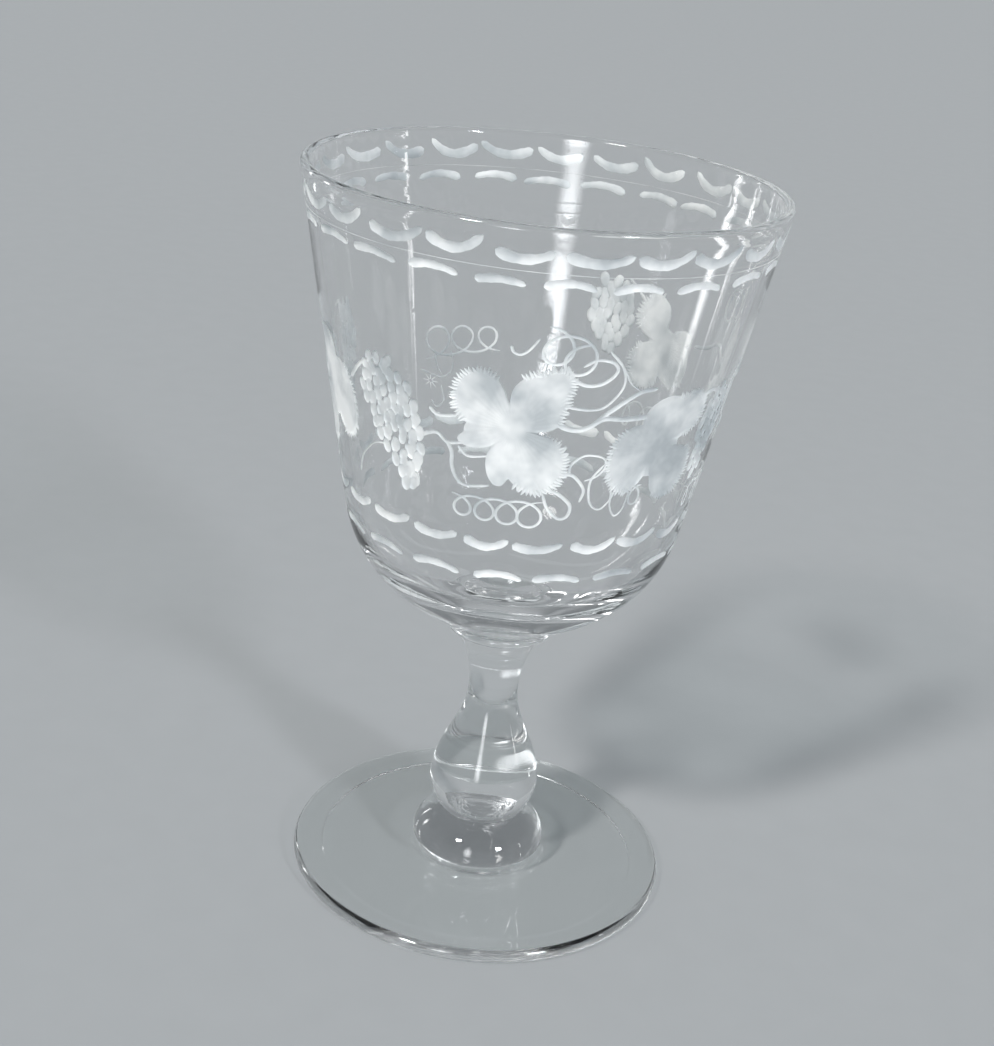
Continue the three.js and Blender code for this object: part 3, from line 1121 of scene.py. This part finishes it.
def cutStar():
    # Eight thin rays of the needle round a point, left of the front leaf.
    star = {"turn": -113.9, "height": 115.4, "rays": 8, "eye": 0.3, "length": 1.4, "width": 0.16,
            "depth": 0.05}
    bearing = np.arange(star["rays"]) * 2 * np.pi / star["rays"]
    reach = np.linspace(star["eye"], star["length"], 5) * mm
    height = star["height"] * mm + np.sin(bearing)[:, None] * reach
    radius = wallRadius(height)
    turn = math.radians(star["turn"]) + np.cos(bearing)[:, None] * reach / radius
    sizes = np.linspace(1, 0.4, 5) * np.ones((star["rays"], 1))
    cutStrokes("star", turn, height, star["width"] * mm / 2 * sizes, star["depth"] * mm * sizes)


for leaf in leaves:
    cutLeaf(hand=hand, **leaf)
for bunch in bunches:
    cutBunch(hand=hand, **bunch)
for shoot in shoots:
    cutLine("shoot", smoothPath(np.array(shoot["points"])), *shoot["width"], 0.22)
for tendril in tendrils:
    path = smoothPath(np.array(tendril["points"]))
    cutLine("tendril", path, tendril["width"], tendril["width"] * 0.7, 0.14)
for curl in curls:
    width = curl.pop("width")
    cutLine("curl", loopChain(**curl), width, width, 0.12)
cutStar()


def cutWithWheel(blank):
    # Takes every cutter out of the blank bowl, gives the clear wall its exact normals and drops
    # the cutters.
    holder = bpy.data.objects.new("bowlBlank", blank)
    bpy.context.scene.collection.objects.link(holder)
    cut = holder.modifiers.new("wheelCuts", "BOOLEAN")
    cut.operation = "DIFFERENCE"
    cut.solver = "MANIFOLD"
    cut.operand_type = "COLLECTION"
    cut.collection = cutterObjects
    shapes = holder.evaluated_get(bpy.context.evaluated_depsgraph_get())
    mesh = bpy.data.meshes.new_from_object(shapes)
    mesh.name = "blown_bowl"
    bpy.data.objects.remove(holder)
    for cutter in list(cutterObjects.objects):
        bpy.data.objects.remove(cutter)
    bpy.data.collections.remove(cutterObjects)
    mesh.shade_smooth()
    markBorders(mesh)
    keepWallNormals(mesh)
    return mesh


def keepWallNormals(mesh):
    # Where a corner of a clear face lies on the outside, its normal is the outside's own there, so
    # that the wall between the cuts still shines as one smooth cone.
    places = np.zeros(len(mesh.polygons), np.int32)
    mesh.polygons.foreach_get("material_index", places)
    sides = np.zeros(len(mesh.polygons), np.int32)
    mesh.polygons.foreach_get("loop_total", sides)
    corners = np.zeros(len(mesh.loops), np.int32)
    mesh.loops.foreach_get("vertex_index", corners)
    points = np.zeros(len(mesh.vertices) * 3)
    mesh.vertices.foreach_get("co", points)
    points = points.reshape(-1, 3)[corners]
    normals = np.zeros(len(mesh.loops) * 3, np.float32)
    mesh.corner_normals.foreach_get("vector", normals)
    normals = normals.reshape(-1, 3)
    radius = np.hypot(points[:, 0], points[:, 1])
    tolerance = 0.03 * mm
    expected = wallRadius(points[:, 2])
    onOutside = (np.repeat(places, sides) == 0) & (np.abs(radius - expected) < tolerance)
    onOutside &= (points[:, 2] > outside[2, 1]) & (points[:, 2] < outside[-2, 1])
    outward, upward = wallNormal(points[onOutside, 2])
    direction = points[onOutside, :2] / radius[onOutside, None]
    normals[onOutside] = np.column_stack((direction * outward[:, None], upward))
    mesh.normals_split_custom_set(normals.tolist())


def makeBowl():
    outline = np.vstack(([(0, outside[0, 1])], outside, inside))
    blank = turnedMesh("bowlBlank", outline, [blownGlass, hotSeat, stoneCut], seatBelow=True)
    return placePiece(cutWithWheel(blank), "bowl")


for make in (makeFoot, makeBaseKnop, makeStem, makeCollar, makeBowl):
    piece = make()
    triangles = sum(len(polygon.vertices) - 2 for polygon in piece.data.polygons)
    print(piece.name, "made with", triangles, "triangles")


# Studio: a pale floor, a soft key light from the left, and tall strip lights whose reflections
# draw the streaks down the bowl.

studio = {
    "floorColours": ("#AEB2B5", "#B2B6B9"), "floorSize": 10.0, "floorGap": 0.06,
    "horizonColour": "#ABAFB2", "overheadColour": "#5E6163", "ceilingColour": "#767A7D",
}


def makeFloor():
    # A matte pale card with a very faint mottle, large enough that every view ends in it.
    material, tree = newMaterial("paleCard")
    place = addNode(tree, "ShaderNodeTexCoord").outputs["Object"]
    mottle = addNode(
        tree, "ShaderNodeTexNoise", {"Scale": 1 / (9 * mm), "Detail": 6.0}, {"Vector": place}
    )
    tone = addNode(
        tree,
        "ShaderNodeMix",
        {"data_type": "RGBA", 6: linearColour(studio["floorColours"][0]),
         7: linearColour(studio["floorColours"][1])},
        {0: mottle.outputs["Fac"]},
    )
    card = addNode(
        tree, "ShaderNodeBsdfPrincipled", {"Roughness": 0.9, "Specular IOR Level": 0.0},
        {"Base Color": tone.outputs[2]},
    )
    finishMaterial(tree, card.outputs["BSDF"])
    half = studio["floorSize"] / 2
    height = -studio["floorGap"] * mm  # a hair of air under the foot, as between glass and card
    corners = [(x * half, y * half, height) for x, y in ((-1, -1), (1, -1), (1, 1), (-1, 1))]
    mesh = bpy.data.meshes.new("studioFloor")
    mesh.from_pydata(corners, [], [(0, 1, 2, 3)])
    mesh.materials.append(material)
    floor = bpy.data.objects.new("studioFloor", mesh)
    bpy.context.scene.collection.objects.link(floor)


def makeWorld():
    # The room: as pale as the floor near the horizon and darker overhead, where the camera and the
    # glass see a slightly paler ceiling than the light that it gives.
    world = bpy.data.worlds.new("studioRoom")
    bpy.context.scene.world = world
    world.use_nodes = True
    tree = world.node_tree
    tree.nodes.clear()
    direction = addNode(tree, "ShaderNodeTexCoord").outputs["Generated"]
    upward = addNode(tree, "ShaderNodeSeparateXYZ", links={"Vector": direction}).outputs["Z"]
    share = addNode(
        tree, "ShaderNodeMapRange",
        {"interpolation_type": "SMOOTHSTEP", "From Min": 0.12, "From Max": 0.55},
        {"Value": upward},
    )
    ray = addNode(tree, "ShaderNodeLightPath").outputs
    mirrored = addNode(
        tree, "ShaderNodeMath", {"operation": "MAXIMUM"},
        {0: ray["Is Glossy Ray"], 1: ray["Is Transmission Ray"]},
    )
    seen = addNode(
        tree, "ShaderNodeMath", {"operation": "MAXIMUM"},
        {0: ray["Is Camera Ray"], 1: mirrored.outputs["Value"]},
    )
    overhead = addNode(
        tree,
        "ShaderNodeMix",
        {"data_type": "RGBA", 6: linearColour(studio["overheadColour"]),
         7: linearColour(studio["ceilingColour"])},
        {0: seen.outputs["Value"]},
    )
    sky = addNode(
        tree,
        "ShaderNodeMix",
        {"data_type": "RGBA", 6: linearColour(studio["horizonColour"])},
        {0: share.outputs["Result"], 7: overhead.outputs[2]},
    )
    background = addNode(tree, "ShaderNodeBackground", {"Strength": 1.0}, {"Color": sky.outputs[2]})
    addNode(tree, "ShaderNodeOutputWorld", links={"Surface": background.outputs["Background"]})


# The two softboxes are large, and so far off that they light the whole floor evenly. A strip shines
# only on the pieces that it is for, and the one for the stem's shoulder leaves the foot alone.
lamps = {
    "keySoftbox": {"bearing": -128, "elevation": 42, "distance": 400.0, "size": (73.3, 73.3),
                   "watts": 3470000.0, "colour": "#FFFDFA", "stripFor": None},
    "fillSoftbox": {"bearing": -48, "elevation": 24, "distance": 400.0, "size": (80.0, 80.0),
                    "watts": 2620000.0, "colour": "#F8FBFF", "stripFor": None},
    "frontStrip": {"bearing": -103, "elevation": 4, "distance": 0.6, "size": (0.19, 0.4),
                   "watts": 2.2, "colour": "#FBFDFF", "stripFor": gobletPieces},
    "leftStrip": {"bearing": 157, "elevation": 4, "distance": 0.8, "size": (0.11, 0.36),
                  "watts": 1.2, "colour": "#FFFFFF", "stripFor": gobletPieces},
    "backStrip": {"bearing": 139, "elevation": 4, "distance": 0.8, "size": (0.06, 0.36),
                  "watts": 0.5, "colour": "#FFFFFF", "stripFor": gobletPieces},
    "rightStrip": {"bearing": -9, "elevation": 6, "distance": 1.1, "size": (0.06, 0.4),
                   "watts": 0.7, "colour": "#FFFFFF", "stripFor": gobletPieces},
    "shoulderStrip": {"bearing": -90, "elevation": 21, "distance": 1.2, "size": (1.6, 0.12),
                      "watts": 4.0, "colour": "#FBFDFF", "stripFor": stemPieces},
}


def softenEdge(light, isStrip):
    # A diffuser: the lamp glows fully in its middle and fades out evenly towards its edge.
    light.use_nodes = True
    tree = light.node_tree
    tree.nodes.clear()
    place = addNode(tree, "ShaderNodeNewGeometry").outputs["Parametric"]
    sides = addNode(tree, "ShaderNodeSeparateXYZ", links={"Vector": place})
    flat = addNode(
        tree, "ShaderNodeCombineXYZ", links={"X": sides.outputs["X"], "Y": sides.outputs["Y"]}
    )
    distance = addNode(
        tree, "ShaderNodeVectorMath", {"operation": "DISTANCE", 1: (0.5, 0.5, 0)},
        {0: flat.outputs["Vector"]},
    )
    glow = addNode(
        tree, "ShaderNodeMapRange",
        {"interpolation_type": "SMOOTHSTEP", "From Min": 0.5, "From Max": 0.08},
        {"Value": distance.outputs["Value"]},
    )
    strength = glow.outputs["Result"]
    if isStrip:
        strength = hideBehindGlass(tree, strength)
    shine = addNode(tree, "ShaderNodeEmission", links={"Strength": strength})
    addNode(tree, "ShaderNodeOutputLight", links={"Surface": shine.outputs["Emission"]})


def hideBehindGlass(tree, glow):
    # A strip stands close by, so it only shows where the glass mirrors it. Seen straight through
    # the glass, with no mirroring on the way, it stays dark: glow (1 - (walls > 1/2) (mirrors < 1/2)).
    ray = addNode(tree, "ShaderNodeLightPath").outputs
    unmirrored = addNode(
        tree, "ShaderNodeMath", {"operation": "LESS_THAN", 1: 0.5}, {0: ray["Glossy Depth"]}
    )
    throughGlass = addNode(
        tree, "ShaderNodeMath", {"operation": "GREATER_THAN", 1: 0.5}, {0: ray["Transmission Depth"]}
    )
    straight = addNode(
        tree, "ShaderNodeMath", {"operation": "MULTIPLY"},
        {0: unmirrored.outputs["Value"], 1: throughGlass.outputs["Value"]},
    )
    kept = addNode(
        tree, "ShaderNodeMath", {"operation": "SUBTRACT", 0: 1.0}, {1: straight.outputs["Value"]}
    )
    shown = addNode(
        tree, "ShaderNodeMath", {"operation": "MULTIPLY"}, {0: glow, 1: kept.outputs["Value"]}
    )
    return shown.outputs["Value"]


def makeLamp(name, lamp):
    # An oval softbox on a sphere round the bowl's middle, facing it.
    light = bpy.data.lights.new(name, "AREA")
    light.shape = "ELLIPSE"
    light.size, light.size_y = lamp["size"]
    light.energy = lamp["watts"]
    light.color = linearColour(lamp["colour"])[:3]
    isStrip = lamp["stripFor"] is not None
    softenEdge(light, isStrip)
    bearing, elevation = math.radians(lamp["bearing"]), math.radians(lamp["elevation"])
    aim = Vector((0, 0, 100 * mm))
    outward = Vector((
        math.cos(bearing) * math.cos(elevation),
        math.sin(bearing) * math.cos(elevation),
        math.sin(elevation),
    ))
    fixture = bpy.data.objects.new(name, light)
    fixture.location = aim + outward * lamp["distance"]
    fixture.rotation_euler = outward.to_track_quat("Z", "Y").to_euler()
    fixture.visible_camera = False
    if isStrip:
        fixture.light_linking.receiver_collection = lamp["stripFor"]  # no pool of light on the floor
    bpy.context.scene.collection.objects.link(fixture)


# The camera stands where the photograph was taken from. Its place was worked out from the rim, the
# foot and the outline, in goblet heights.

view = {
    "focalPixels": 1659.0, "imageHeight": 1046, "sensor": 36.0, "distance": 2.2539,
    "elevation": 23.24, "roll": -6.2, "panShare": 0.0083, "tiltShare": 0.0100,
}


def makeCamera():
    gobletHeight = nodeSpan("bowl")[1]
    elevation = math.radians(view["elevation"])
    distance = view["distance"] * gobletHeight
    middle = Vector((0, 0, gobletHeight / 2))
    forward = Vector((0, math.cos(elevation), -math.sin(elevation)))
    right = Vector((1, 0, 0))
    up = right.cross(forward)
    pan = Matrix.Rotation(view["panShare"], 3, up)
    forward, right = pan @ forward, pan @ right
    tilt = Matrix.Rotation(view["tiltShare"], 3, right)
    forward, up = tilt @ forward, tilt @ up
    roll = Matrix.Rotation(math.radians(view["roll"]), 3, forward)
    right, up = roll @ right, roll @ up
    data = bpy.data.cameras.new("photoView")
    data.sensor_width = view["sensor"]
    data.lens = view["focalPixels"] / view["imageHeight"] * view["sensor"]
    camera = bpy.data.objects.new("photoView", data)
    place = middle + Vector((0, -math.cos(elevation), math.sin(elevation))) * distance
    turned = Matrix((right, up, -forward)).transposed().to_4x4()
    camera.matrix_world = Matrix.Translation(place) @ turned
    bpy.context.scene.collection.objects.link(camera)
    bpy.context.scene.camera = camera


makeFloor()
makeWorld()
for lampName, lamp in lamps.items():
    makeLamp(lampName, lamp)
makeCamera()
scene = bpy.context.scene
scene.view_settings.view_transform = "Standard"
scene.cycles.transparent_max_bounces = 24  # a lamp's ray may cross every wall and seat
scene.cycles.transmission_bounces = 20
scene.cycles.glossy_bounces = 16
scene.cycles.max_bounces = 28
scene.cycles.caustics_reflective = False  # the glass already lets the lamps' light through
scene.cycles.caustics_refractive = False
print("studio and camera set")
